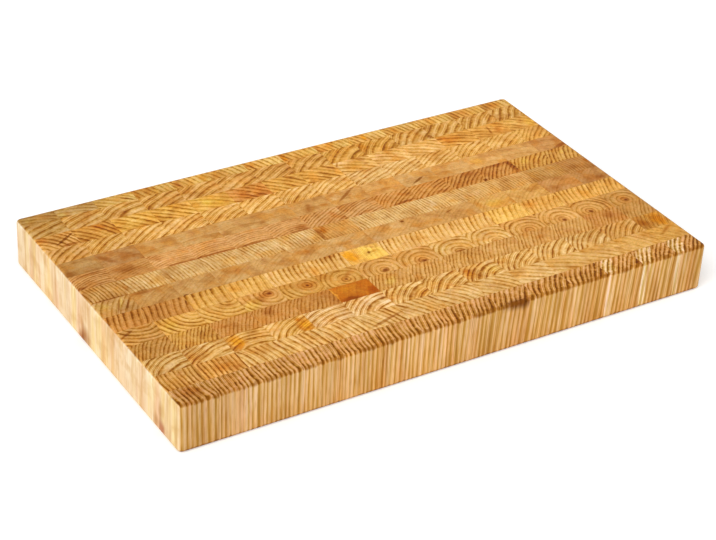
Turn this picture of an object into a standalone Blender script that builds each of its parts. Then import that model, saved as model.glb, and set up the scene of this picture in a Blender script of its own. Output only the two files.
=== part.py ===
"""End-grain butcher block cutting board of larch, as an assembly of its glued pieces.

Such a board is glued up twice. Sticks are first glued side by side into a panel. The panel is cut across
into strips, every strip is turned so that its end grain faces up, and the strips are glued to one another.
Last, the glued slab is trimmed, and its corners and edges are rounded in one pass over all the pieces.

Here the two end strips are made block by block. Each strip between them is one solid, whose blocks are
told apart by the glue lines scored into its faces.

Metres, +Z up. The origin is the middle of the underside, +X runs along the length, and -Y is the front.
"""

import bmesh
import bpy
from mathutils import Vector

# Widths along the length: the panel's crosscut strips, with the first and the last one trimmed
LEFT_STRIP_WIDTH = 0.0339
STRIP_WIDTH = 0.0368
RIGHT_STRIP_WIDTH = 0.0325
FULL_STRIPS = 12

# Widths across the board: the sticks, with the front and the back one trimmed
FRONT_STICK_WIDTH = 0.0209
STICK_WIDTH = 0.0223
BACK_STICK_WIDTH = 0.0163
FULL_STICKS = 12

THICKNESS = 0.0445
CORNER_ROUND = 0.0045
EDGE_ROUND = 0.003

# Glue joints
JOINT_GAP = 0.0003
SCORE_DEPTH = 0.0006

# Facets of the two roundings
CORNER_SEGMENTS = 6
EDGE_SEGMENTS = 5

# Wood tones, as linear base colours
TONES = {
    "larch_golden": (0.72, 0.41, 0.10),
    "larch_brown": (0.55, 0.26, 0.08),
    "larch_tan": (0.61, 0.35, 0.13),
    "larch_rose": (0.56, 0.29, 0.14),
    "larch_pale": (0.72, 0.47, 0.20),
}
ROUGHNESS = 0.45

# The tone of each stick, from the front to the back. It repeats if there are more sticks.
STICK_TONES = [
    "larch_brown",
    "larch_brown",
    "larch_golden",
    "larch_tan",
    "larch_tan",
    "larch_golden",
    "larch_tan",
    "larch_tan",
    "larch_rose",
    "larch_tan",
    "larch_pale",
    "larch_golden",
    "larch_brown",
    "larch_golden",
]


def clear_scene():
    """Removes every object that the file opened with."""
    for old in list(bpy.data.objects):
        bpy.data.objects.remove(old)


def new_collection(name):
    """Makes a collection and links it to the scene."""
    collection = bpy.data.collections.new(name)
    bpy.context.scene.collection.children.link(collection)
    return collection


def wood(name, colour):
    """An oiled wood of one tone."""
    material = bpy.data.materials.new(name)
    material.use_nodes = True
    shader = material.node_tree.nodes["Principled BSDF"]
    shader.inputs["Base Color"].default_value = (*colour, 1.0)
    shader.inputs["Roughness"].default_value = ROUGHNESS
    shader.inputs["Metallic"].default_value = 0.0
    material.diffuse_color = (*colour, 1.0)
    return material


def lines_across(widths):
    """The outer faces and the glue lines of a row of pieces, centred on zero."""
    lines = [-sum(widths) / 2]
    for width in widths:
        lines.append(lines[-1] + width)
    return lines


def box(mesh_builder, low, high):
    """Adds a box between two corners and returns its vertices."""
    made = bmesh.ops.create_cube(mesh_builder, size=1.0)
    centre = (low + high) / 2
    size = high - low
    for vert in made["verts"]:
        vert.co = centre + Vector(a * b for a, b in zip(vert.co, size))
    return made["verts"]


def new_object(name, mesh_builder, centre, collection):
    """Turns a mesh built in board coordinates into an object placed at its own centre."""
    bmesh.ops.translate(mesh_builder, verts=mesh_builder.verts, vec=-centre)
    mesh = bpy.data.meshes.new(name)
    mesh_builder.to_mesh(mesh)
    mesh_builder.free()
    piece = bpy.data.objects.new(name, mesh)
    piece.location = centre
    collection.objects.link(piece)
    return piece


def hide_guide(guide):
    """Keeps a cutter out of the model and out of renders."""
    guide.hide_render = True
    guide.display_type = "WIRE"


def finished_outline(length, width, guides):
    """The trimmed and rounded slab, as one guide solid that every rough piece is cut down to."""
    builder = bmesh.new()
    half = Vector((length / 2, width / 2, 0))
    box(builder, -half, half + Vector((0, 0, THICKNESS)))

    upright = [e for e in builder.edges if abs(e.verts[0].co.z - e.verts[1].co.z) > THICKNESS / 2]
    rounded = bmesh.ops.bevel(
        builder, geom=upright, offset=CORNER_ROUND, segments=CORNER_SEGMENTS, profile=0.5, affect="EDGES"
    )
    for face in rounded["faces"]:
        face.smooth = True

    builder.normal_update()
    rims = [e for e in builder.edges if any(abs(f.normal.z) > 0.5 for f in e.link_faces)]
    rounded = bmesh.ops.bevel(
        builder, geom=rims, offset=EDGE_ROUND, segments=EDGE_SEGMENTS, profile=0.5, affect="EDGES"
    )
    for face in rounded["faces"]:
        face.smooth = True

    outline = new_object("finished_outline", builder, Vector((0, 0, THICKNESS / 2)), guides)
    hide_guide(outline)
    return outline


def glue_line_scores(length, stick_lines, guides):
    """Fine bars along the length, on the top and on the underside, that mark where a strip's blocks meet."""
    builder = bmesh.new()
    half_bar = Vector((length / 2 + STRIP_WIDTH, JOINT_GAP / 2, SCORE_DEPTH))
    for y in stick_lines[1:-1]:
        for z in (0, THICKNESS):
            centre = Vector((0, y, z))
            box(builder, centre - half_bar, centre + half_bar)
    scores = new_object("glue_line_scores", builder, Vector((0, 0, THICKNESS / 2)), guides)
    hide_guide(scores)
    return scores


def cut(piece, cutter, operation):
    """Adds a Boolean with the exact solver."""
    modifier = piece.modifiers.new(cutter.name, "BOOLEAN")
    modifier.operation = operation
    modifier.solver = "EXACT"
    modifier.object = cutter


def rough_box(builder, x_span, y_span, board_size):
    """A piece as sawn: half a joint short of each glue line, and proud of the board's outer faces.

    The outline then trims what stands proud, so that neighbouring pieces come out flush.
    """
    proud = EDGE_ROUND
    corners = []
    for side, pick in ((-1, 0), (1, 1)):
        corner = []
        for span, full in zip((x_span, y_span), board_size):
            at_face = abs(span[pick]) > full / 2 - JOINT_GAP
            corner.append(span[pick] + side * (proud if at_face else -JOINT_GAP / 2))
        corners.append(corner)
    low = Vector((*corners[0], -proud))
    high = Vector((*corners[1], THICKNESS + proud))
    box(builder, low, high)


def end_block(name, x_span, y_span, board_size, outline, material, board):
    """One block of an end strip, in the wood of its stick."""
    builder = bmesh.new()
    rough_box(builder, x_span, y_span, board_size)
    centre = Vector((sum(x_span) / 2, sum(y_span) / 2, THICKNESS / 2))
    block = new_object(name, builder, centre, board)
    block.data.materials.append(material)
    cut(block, outline, "INTERSECT")
    return block


def glued_strip(name, x_span, stick_lines, board_size, guides, woods, board):
    """A crosscut strip: one stick's block after another, joined along their scored glue lines."""
    outline, scores = guides
    builder = bmesh.new()
    rough_box(builder, x_span, (stick_lines[0], stick_lines[-1]), board_size)
    for y in stick_lines[1:-1]:
        everything = builder.verts[:] + builder.edges[:] + builder.faces[:]
        bmesh.ops.bisect_plane(builder, geom=everything, plane_co=(0, y, 0), plane_no=(0, 1, 0))
    for face in builder.faces:
        y = face.calc_center_median().y
        face.material_index = sum(y > line for line in stick_lines[1:-1])
    strip = new_object(name, builder, Vector((sum(x_span) / 2, 0, THICKNESS / 2)), board)
    for material in woods:
        strip.data.materials.append(material)
    cut(strip, outline, "INTERSECT")
    cut(strip, scores, "DIFFERENCE")
    return strip


def build_board():
    """Makes all the pieces and parents them to one empty."""
    clear_scene()
    board = new_collection("butcher_block_board")
    guides = new_collection("guides")

    strip_widths = [LEFT_STRIP_WIDTH] + [STRIP_WIDTH] * FULL_STRIPS + [RIGHT_STRIP_WIDTH]
    stick_widths = [FRONT_STICK_WIDTH] + [STICK_WIDTH] * FULL_STICKS + [BACK_STICK_WIDTH]
    strip_lines = lines_across(strip_widths)
    stick_lines = lines_across(stick_widths)
    strip_spans = list(zip(strip_lines, strip_lines[1:]))
    stick_spans = list(zip(stick_lines, stick_lines[1:]))
    board_size = (sum(strip_widths), sum(stick_widths))

    outline = finished_outline(*board_size, guides)
    scores = glue_line_scores(board_size[0], stick_lines, guides)
    tones = {name: wood(name, colour) for name, colour in TONES.items()}
    woods = [tones[STICK_TONES[i % len(STICK_TONES)]] for i in range(len(stick_spans))]

    pieces = []
    for side, x_span in (("left", strip_spans[0]), ("right", strip_spans[-1])):
        for i, (y_span, material) in enumerate(zip(stick_spans, woods), start=1):
            name = f"{side}_end_block_{i:02d}"
            pieces.append(end_block(name, x_span, y_span, board_size, outline, material, board))
    for i, x_span in enumerate(strip_spans[1:-1], start=2):
        name = f"strip_{i:02d}"
        pieces.append(glued_strip(name, x_span, stick_lines, board_size, (outline, scores), woods, board))

    handle = bpy.data.objects.new("butcher_block_board", None)
    board.objects.link(handle)
    for piece in pieces:
        piece.parent = handle


build_board()
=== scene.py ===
"""The looks of the end-grain butcher block cutting board: oiled larch, glued up block by block.

Every block is a slice off one of 14 sticks, so a row of blocks repeats its stick's growth rings. Each piece
carries, face by face, where the pith of its stick lies, how wide the rings are and what tones the wood has.
One material reads these and draws the rings through the solid wood, so the lines on the top run on down the
sides.

Metres, +Z up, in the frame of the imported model: +X along the length, -Y to the front.
"""

import math
import random

import bmesh
import bpy
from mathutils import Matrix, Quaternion, Vector


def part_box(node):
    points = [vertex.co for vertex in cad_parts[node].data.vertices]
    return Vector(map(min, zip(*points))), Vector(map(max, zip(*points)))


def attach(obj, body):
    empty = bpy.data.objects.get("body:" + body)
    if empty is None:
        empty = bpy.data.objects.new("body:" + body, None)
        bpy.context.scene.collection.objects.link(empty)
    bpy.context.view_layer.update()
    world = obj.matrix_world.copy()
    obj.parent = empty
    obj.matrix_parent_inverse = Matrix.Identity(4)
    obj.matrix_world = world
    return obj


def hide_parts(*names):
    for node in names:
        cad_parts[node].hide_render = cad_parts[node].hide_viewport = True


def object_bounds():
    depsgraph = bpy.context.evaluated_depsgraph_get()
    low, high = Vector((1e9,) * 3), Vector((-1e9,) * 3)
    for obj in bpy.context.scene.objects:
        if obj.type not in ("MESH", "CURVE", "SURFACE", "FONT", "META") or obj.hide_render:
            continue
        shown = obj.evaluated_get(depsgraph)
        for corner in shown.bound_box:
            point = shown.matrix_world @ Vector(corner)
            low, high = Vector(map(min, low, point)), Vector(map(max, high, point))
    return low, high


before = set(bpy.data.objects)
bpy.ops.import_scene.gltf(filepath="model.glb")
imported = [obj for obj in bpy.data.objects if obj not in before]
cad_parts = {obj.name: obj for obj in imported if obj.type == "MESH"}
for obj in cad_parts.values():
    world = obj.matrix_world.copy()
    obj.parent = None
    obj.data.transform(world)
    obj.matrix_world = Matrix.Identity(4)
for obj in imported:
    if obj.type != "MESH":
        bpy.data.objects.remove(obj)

CAD_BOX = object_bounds()
MM = 0.001

# The board's roundings, as in the CAD model, with finer facets
CORNER_ROUND = 4.5 * MM
EDGE_ROUND = 3.0 * MM
CORNER_SEGMENTS = 12
EDGE_SEGMENTS = 9

# The eased edge along each glue line
JOINT_EASE = 0.05 * MM
SMOOTH_BELOW = math.radians(30)

STRIPS = 14
STICKS_ACROSS = 14

# Material slots of every piece
LARCH = 0
GLUED_SIDE = 1

# How the hidden glued sides are shrunk in the texture layout, and the space round each island
HIDDEN_SCALE = 0.25
ISLAND_SPACE = 0.6 * MM

# Tones of the oiled end grain, as linear colours: the pale early wood, then the dark late wood of each ring
TONES = {
    "honey": ((0.92, 0.58, 0.18), (0.33, 0.12, 0.004)),
    "golden": ((0.90, 0.545, 0.18), (0.31, 0.105, 0.004)),
    "straw": ((0.91, 0.595, 0.26), (0.34, 0.12, 0.006)),
    "biscuit": ((0.89, 0.525, 0.20), (0.30, 0.10, 0.005)),
    "cream": ((0.92, 0.64, 0.31), (0.31, 0.105, 0.007)),
    "pale": ((0.92, 0.68, 0.42), (0.33, 0.12, 0.012)),
    "amber": ((0.87, 0.50, 0.15), (0.28, 0.085, 0.003)),
    "tan": ((0.74, 0.43, 0.155), (0.32, 0.13, 0.012)),
    "sand": ((0.78, 0.43, 0.14), (0.33, 0.12, 0.008)),
    "rose": ((0.82, 0.46, 0.19), (0.30, 0.10, 0.008)),
    "rust": ((0.76, 0.38, 0.12), (0.26, 0.075, 0.003)),
    "copper": ((0.81, 0.41, 0.135), (0.33, 0.10, 0.004)),
    "brown": ((0.88, 0.53, 0.31), (0.18, 0.053, 0.001)),
    "russet": ((0.53, 0.18, 0.014), (0.40, 0.10, 0.004)),
}

# The sticks, from the front row to the back row. What changes along a stick is given as {column: value}: it
# is level before the first column and after the last one, and lies in a straight line between two.
#   tone        the wood's colours, by their name in TONES
#   pith        millimetres right of and behind the middle of an untrimmed block
#   pitch       width of one year's ring at that middle, in millimetres
#   contrast    how dark the late wood gets
#   shade       how bright the wood is
#   narrowing   the share by which a ring gets narrower for each millimetre away from the pith, and how many
#               millimetres past that middle this goes on
#   late_wood   below 1, the late wood takes up more of each ring
#   fine        strength of the thin lines between the rings
#   fade        how much stronger the rings get from the middle of the block to its back
#   young_wood  millimetres round the pith in which the rings are weak and the wood is redder
#   sap         millimetres from the pith at which the dark heartwood ends, and how soft that border is
#   lean        millimetres that the pith moves to the right and to the back, from the top to the underside
#   clouds      how patchy the wood is
#
# PLAIN_STICK holds what a stick has where it gives no value of its own.
PLAIN_STICK = dict(
    narrowing=(0.004, 30), late_wood=1.0, fine=0.2, fade=0.0, young_wood=1.0, sap=(1000, 10),
    lean=(0.6, -0.6), clouds=0.8,
)
STICKS = [
    dict(
        tone={1: "brown"},
        pith={1: (120, 16), 2: (130, 0), 3: (130, 0), 4: (130, -16), 6: (130, -16), 7: (125, -34),
            8: (120, -50), 9: (112, -65), 11: (112, -65), 12: (104, -78)},
        pitch={1: 4.4, 2: 4.0, 3: 3.9, 5: 4.1, 9: 4.4, 10: 4.6, 12: 4.0, 14: 3.8},
        contrast={1: 1.0, 8: 1.12, 14: 1.3}, shade={1: 1.02, 3: 0.98, 4: 0.98, 5: 1.02, 8: 1.02, 14: 1.05},
        lean={1: (0.5, 0), 7: (0, 0), 9: (-2.5, 0), 14: (-3, 0)}, late_wood=0.75, fine=0.35, fade=-0.35,
        clouds=0.5,
    ),
    dict(
        tone={2: "biscuit", 3: "cream", 10: "cream", 11: "straw", 14: "golden"},
        pith={2: (130, 0), 3: (-78, -20), 5: (-78, -20), 6: (-72, -32), 7: (-85, -50), 8: (-85, -65),
            9: (-80, -80), 10: (-65, -110), 11: (-65, -110), 12: (-80, -100), 13: (-80, -62), 14: (-60, -60)},
        pitch={1: 3.7, 2: 4.2, 3: 5.5, 6: 5.1, 7: 4.6, 8: 5.2, 12: 6.0},
        contrast={1: 1.05, 2: 1.0, 3: 0.92, 4: 0.82, 7: 0.68, 9: 0.6, 10: 0.44, 12: 0.32},
        shade={1: 1.02, 2: 1.12, 3: 1.04, 5: 1.04, 10: 1.0, 12: 0.96, 14: 1.0}, fine=0.35,
    ),
    dict(
        tone={2: "cream", 3: "straw", 4: "straw", 5: "pale", 6: "pale", 7: "cream", 12: "cream",
            13: "biscuit", 14: "amber"},
        pith={1: (19, -32), 2: (25, -60), 3: (4, -37), 4: (40, -55), 5: (12, -44), 6: (19, -32), 7: (26, -28),
            8: (32, -42), 9: (19, -25), 10: (33, -33), 11: (42, -42), 12: (42, -42), 13: (56, -56),
            14: (80, -35)},
        pitch={4: 5.2, 5: 5.8, 7: 5.8, 9: 5.4, 11: 4.6, 12: 4.9, 14: 4.6},
        contrast={1: 0.88, 3: 0.86, 6: 0.88, 10: 0.92, 13: 1.02, 14: 0.5},
        shade={1: 1.06, 4: 1.03, 5: 1.12, 6: 1.12, 7: 1.08, 10: 1.08, 12: 0.98, 14: 0.94},
        narrowing=(0.022, 30), fine=0.45,
    ),
    dict(
        tone={1: "sand", 2: "amber", 3: "copper", 5: "copper", 6: "russet", 7: "biscuit", 12: "biscuit",
            13: "copper", 14: "sand"},
        pith={1: (110, -64), 2: (170, -98)}, pitch={1: 3.2, 2: 2.9, 5: 3.2},
        contrast={1: 1.1, 2: 0.9, 5: 0.8, 6: 0.3, 7: 0.72, 9: 0.66, 12: 0.6, 14: 0.62},
        shade={2: 0.96, 3: 0.86, 5: 0.85, 6: 1.12, 7: 0.91, 12: 0.89, 14: 0.92},
    ),
    dict(
        tone={1: "biscuit", 2: "golden", 3: "golden", 4: "biscuit", 5: "amber", 6: "amber", 7: "biscuit",
            8: "biscuit", 9: "straw", 10: "straw", 11: "biscuit", 12: "biscuit", 14: "sand"},
        pith={1: (8, 22), 2: (18, 13), 3: (12, 13), 4: (9, 5.5), 5: (6, 1.8), 6: (2.5, -4.5), 7: (2.4, -6.9),
            8: (2.5, -9.3), 9: (1.5, -10.5), 10: (2.6, -10.5), 11: (1.7, -9.8), 12: (1.6, -8.3),
            13: (-5.2, -7.2), 14: (-2, -5.1)},
        pitch={3: 5.0, 4: 4.4, 6: 4.2, 9: 4.4, 14: 4.2},
        contrast={1: 1.0, 2: 0.86, 3: 0.74, 4: 0.68, 5: 0.6, 7: 0.66, 10: 0.76, 14: 0.82},
        shade={1: 1.0, 2: 1.07, 3: 0.98, 5: 0.87, 7: 0.94, 10: 1.0, 14: 0.96},
        narrowing={3: (0.005, 30), 4: (-0.035, 9)}, young_wood=11,
    ),
    dict(
        tone={2: "rust", 3: "golden", 4: "golden", 5: "straw", 6: "straw", 7: "honey", 8: "straw",
            10: "straw", 11: "honey", 12: "golden"},
        pith={2: (120, -32), 3: (130, -17), 4: (130, -17), 5: (80, -10), 6: (100, -20), 7: (80, -10),
            8: (110, -30), 10: (110, -30), 11: (110, -45), 12: (115, -48), 13: (120, -32), 14: (115, -48)},
        pitch={2: 5.2, 3: 6.0, 4: 5.4, 5: 4.6, 6: 4.2, 8: 4.3, 9: 4.8, 12: 4.9, 13: 4.6, 14: 4.2},
        contrast={2: 0.98, 3: 0.8, 5: 0.74, 6: 0.84, 7: 0.15, 8: 0.6, 14: 0.66},
        shade={1: 1.08, 2: 0.96, 3: 0.97, 5: 1.05, 8: 1.06, 10: 1.08, 12: 1.08, 14: 1.12}, fade=0.5,
        clouds=0.6,
    ),
    dict(
        tone={1: "biscuit", 2: "sand", 3: "tan", 8: "tan", 9: "sand", 10: "sand", 11: "amber", 12: "amber",
            13: "copper"},
        pith={1: (60, -35), 2: (60, -90), 14: (50, -60)}, pitch={1: 4.0, 2: 3.4}, contrast={1: 0.45, 2: 0.15},
        shade={1: 0.83, 2: 0.82, 3: 0.88, 5: 0.95, 8: 1.0, 9: 0.9, 12: 0.9, 13: 0.81, 14: 0.78}, fine=0.0,
        clouds=1.2,
    ),
    dict(
        tone={1: "biscuit", 2: "cream", 6: "cream", 7: "sand", 8: "cream", 10: "cream", 12: "biscuit",
            13: "sand", 14: "copper"},
        pitch={6: 3.2, 7: 3.0}, contrast={1: 0.75, 2: 0.54, 6: 0.56, 7: 0.62, 8: 0.58, 14: 0.56},
        shade={1: 0.9, 2: 0.94, 3: 0.87, 6: 0.94, 10: 0.96, 14: 0.8}, pith=(-98, -14), fine=0.15, clouds=1.0,
    ),
    dict(
        tone={1: "rose", 2: "copper", 3: "rose", 8: "rose", 9: "copper", 10: "copper", 11: "rust", 12: "rust",
            13: "amber"},
        pith={1: (10, -40), 2: (28, -100), 3: (5, -60), 6: (5, -50), 7: (65, -110), 8: (50, -120),
            9: (78, -102), 10: (70, -110), 11: (90, -90), 12: (102, -80), 13: (88, -66), 14: (112, -65)},
        pitch={1: 2.8, 6: 2.9, 8: 3.1, 9: 3.4, 14: 3.8},
        contrast={1: 0.7, 2: 0.35, 3: 0.48, 6: 0.52, 7: 0.8, 10: 0.95, 11: 1.05, 12: 1.05, 14: 0.95},
        shade={1: 0.97, 2: 0.82, 3: 1.01, 6: 0.95, 8: 0.94, 9: 0.94, 12: 0.97, 14: 0.95}, fine=0.15,
    ),
    dict(
        tone={1: "sand", 2: "copper", 3: "sand", 9: "sand", 10: "tan", 13: "sand", 14: "copper"},
        pith={1: (10, -90), 14: (-20, -90)},
        shade={1: 0.75, 2: 0.69, 3: 0.86, 5: 0.81, 8: 0.9, 9: 0.98, 12: 1.03, 14: 0.85}, pitch=3.4,
        contrast=0.12, fine=0.0, clouds=1.3,
    ),
    dict(
        tone={1: "biscuit", 2: "straw", 8: "straw", 9: "cream", 10: "cream", 11: "straw", 14: "golden"},
        pith={1: (48, -64), 4: (45, -75), 5: (65, -110), 7: (78, -102), 8: (65, -110), 9: (50, -115),
            11: (65, -110), 12: (78, -102), 13: (78, -102), 14: (92, -92)},
        pitch={6: 5.6, 7: 5.1, 8: 4.7, 9: 4.4, 11: 4.3, 12: 4.9, 13: 4.9, 14: 4.2},
        contrast={1: 0.76, 7: 0.72, 8: 0.66, 11: 0.64, 14: 0.58}, shade={1: 1.04, 2: 1.07, 9: 1.07, 14: 1.12},
        fine=0.45,
    ),
    dict(
        tone={1: "biscuit", 2: "amber", 3: "honey", 5: "honey", 6: "copper", 7: "golden", 8: "golden",
            9: "straw", 11: "straw", 12: "amber", 13: "amber", 14: "golden"},
        pith={1: (-30, -22), 2: (-48, -36), 3: (-70, -70), 4: (-65, -80), 5: (-35, -60), 6: (-65, -80),
            7: (-75, -75), 8: (-65, -80), 9: (-55, -95), 11: (-55, -95), 12: (-35, -80), 13: (-55, -90),
            14: (-40, -45)},
        pitch={1: 5.0, 3: 6.2, 8: 6.2, 9: 5.8, 14: 5.4},
        contrast={1: 1.0, 2: 0.9, 3: 0.72, 4: 0.88, 5: 0.5, 6: 0.95, 7: 0.82, 9: 0.76, 12: 0.6, 14: 0.55},
        shade={1: 1.1, 2: 1.05, 3: 1.05, 6: 1.07, 9: 1.1, 14: 1.14}, fine=0.45, clouds=1.0,
    ),
    dict(
        tone={2: "straw", 7: "biscuit", 9: "golden", 10: "golden", 11: "straw"},
        pith={1: (42, -110), 2: (42, -100), 3: (18, -44), 4: (30, -54), 5: (50, -86), 7: (55, -95),
            8: (60, -80), 9: (50, -65), 10: (56, -56), 11: (60, -60), 12: (90, -90), 13: (90, -90),
            14: (115, -90)},
        contrast={1: 0.92, 3: 0.76, 10: 0.9, 14: 0.88},
        shade={1: 0.85, 2: 0.98, 6: 0.96, 10: 0.98, 12: 0.98, 14: 1.06}, pitch=7.4, late_wood=0.85, fine=0.5,
        clouds=0.9,
    ),
    dict(
        tone={1: "sand", 2: "biscuit", 3: "golden", 12: "golden", 13: "amber"},
        pith={2: (-25, -90), 3: (-60, -78), 4: (-56, -24), 11: (-56, -24), 12: (-58, -18)},
        pitch={1: 5.0, 4: 5.4}, contrast={1: 0.62, 2: 0.5, 3: 0.66},
        shade={1: 0.84, 2: 0.82, 3: 0.92, 6: 0.95, 7: 1.04, 10: 1.07, 11: 0.99, 14: 1.02}, sap=(55, 8),
        fine=0.4, clouds=1.0,
    ),
]

# How bright the wood is in each column: painted shade, darker in the columns at both ends, where less light
# falls on the top. And how much one block differs from the next
END_COLUMN_PAINTED_SHADE = {1: 0.86, 2: 0.93, 3: 1.0, 12: 1.0, 13: 0.97, 14: 0.92}
BLOCK_SHADE = (0.98, 1.02)

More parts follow.
